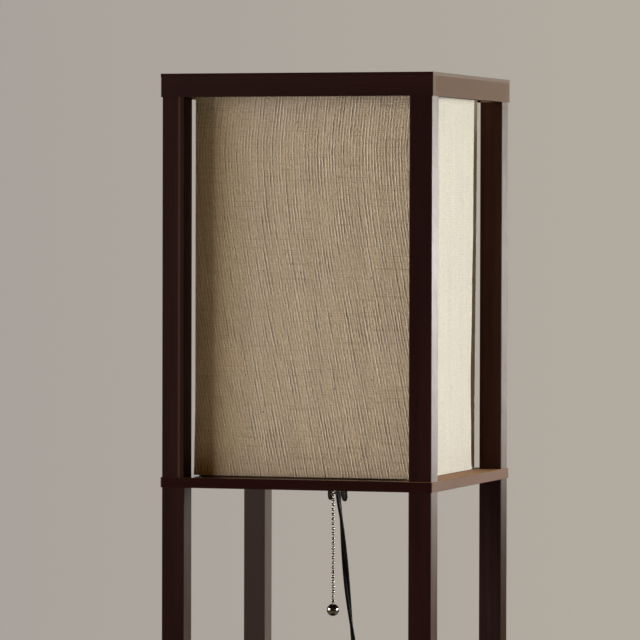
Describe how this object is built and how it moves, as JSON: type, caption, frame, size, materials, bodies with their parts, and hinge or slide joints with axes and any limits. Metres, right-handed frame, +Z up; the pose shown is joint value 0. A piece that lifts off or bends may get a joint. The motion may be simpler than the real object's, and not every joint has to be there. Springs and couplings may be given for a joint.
{
  "type": "shelf floor lamp",
  "caption": "Square wooden floor lamp: a cloth shade box between the upper posts, open shelves below, a pull-chain socket, a wing nut and a mains lead.",
  "frame": {"origin": "on the floor, under the centre of the square lamp", "axes": "+Z up along the posts, +X to the right along the front, +Y into the depth, so the front faces -Y"},
  "size_m": [0.27, 0.3593, 1.6],
  "materials": {
    "espresso_wood": "dark espresso stain under satin lacquer",
    "block_wood": "bare pine",
    "linen": "natural slub-weave cloth on a stiff translucent backing",
    "ring_wire": "white coated wire",
    "zinc_steel": "zinc plated",
    "chrome": "polished",
    "brass": "plain",
    "black_plastic": "moulded, satin",
    "socket_black": "phenolic, satin",
    "cord_black": "soft twin flex",
    "bulb_white": "frosted",
    "bulb_metal": "plain",
    "glide_grey": "moulded",
    "lead_wire": "insulated cores"
  },
  "bodies": {
    "lamp_frame": {"back_rail": "espresso_wood", "centre_contact": "brass", "cord_bushing": "black_plastic", "cord_coil": "cord_black", "corner_blocks": "block_wood", "feet": "espresso_wood", "front_rail": "espresso_wood", "glides": "glide_grey", "inner_leads": "lead_wire", "joint_studs": "zinc_steel", "left_rail": "espresso_wood", "lever_pin": "zinc_steel", "lower_shelf": "espresso_wood", "lowest_post_back_left": "espresso_wood", "lowest_post_back_right": "espresso_wood", "lowest_post_front_left": "espresso_wood", "lowest_post_front_right": "espresso_wood", "middle_shelf": "espresso_wood", "nipple": "zinc_steel", "plug_blades": "brass", "plug_body": "black_plastic", "post_inserts": "zinc_steel", "power_cord": "cord_black", "right_rail": "espresso_wood", "screw_shell": "brass", "second_post_back_left": "espresso_wood", "second_post_back_right": "espresso_wood", "second_post_front_left": "espresso_wood", "second_post_front_right": "espresso_wood", "shade_back": "linen", "shade_board": "espresso_wood", "shade_front": "linen", "shade_left": "linen", "shade_right": "linen", "shade_rings": "ring_wire", "socket_body": "socket_black", "socket_cap": "socket_black", "socket_nut": "zinc_steel", "socket_shell": "socket_black", "socket_washer": "zinc_steel", "third_post_back_left": "espresso_wood", "third_post_back_right": "espresso_wood", "third_post_front_left": "espresso_wood", "third_post_front_right": "espresso_wood", "top_cap": "espresso_wood", "top_screws": "zinc_steel", "upper_post_back_left": "espresso_wood", "upper_post_back_right": "espresso_wood", "upper_post_front_left": "espresso_wood", "upper_post_front_right": "espresso_wood", "upper_shelf": "espresso_wood"},
    "wing_nut": {"wing_nut": "black_plastic"},
    "lever": {"switch_lever": "zinc_steel"},
    "chain_slider": {"chain_top": "chrome"},
    "chain_swivel": {"chain_knuckle": "chrome"},
    "chain_pendulum": {"pull_chain": "chrome", "pull_ball": "chrome"},
    "bulb": {"bulb_glass": "bulb_white", "bulb_base": "bulb_metal"}
  },
  "joints": [
    {"name": "chain_pull", "type": "slide", "parent": "lamp_frame", "child": "chain_slider", "axis": [0, 0, -1], "range_m": [0, 0.01], "stiffness_N_per_m": 200, "springref_m": -0.003},
    {"name": "lever_swing", "type": "hinge", "parent": "lamp_frame", "child": "lever", "pos_m": [-0.00089, 0.00781, 1.27], "axis": [0.9936, 0.1129, 0], "range_deg": [0, 19.2]},
    {"name": "chain_swing_depth", "type": "hinge", "parent": "chain_slider", "child": "chain_swivel", "pos_m": [0.0025, -0.022, 1.2148], "axis": [1, 0, 0], "range_deg": [-20, 20]},
    {"name": "chain_swing_side", "type": "hinge", "parent": "chain_swivel", "child": "chain_pendulum", "pos_m": [0.0025, -0.022, 1.2148], "axis": [0, 1, 0], "range_deg": [-20, 20]},
    {"name": "wing_nut_turn", "type": "hinge", "parent": "lamp_frame", "child": "wing_nut", "pos_m": [0, 0, 1.2165], "axis": [0, 0, 1], "continuous": true},
    {"name": "bulb_lift", "type": "slide", "parent": "lamp_frame", "child": "bulb", "axis": [0, 0, 1], "range_m": [0, 0.026]}
  ],
  "couplings": [
    {"joint": "lever_swing", "follows": "chain_pull", "rad_per_m": 33.333}
  ]
}
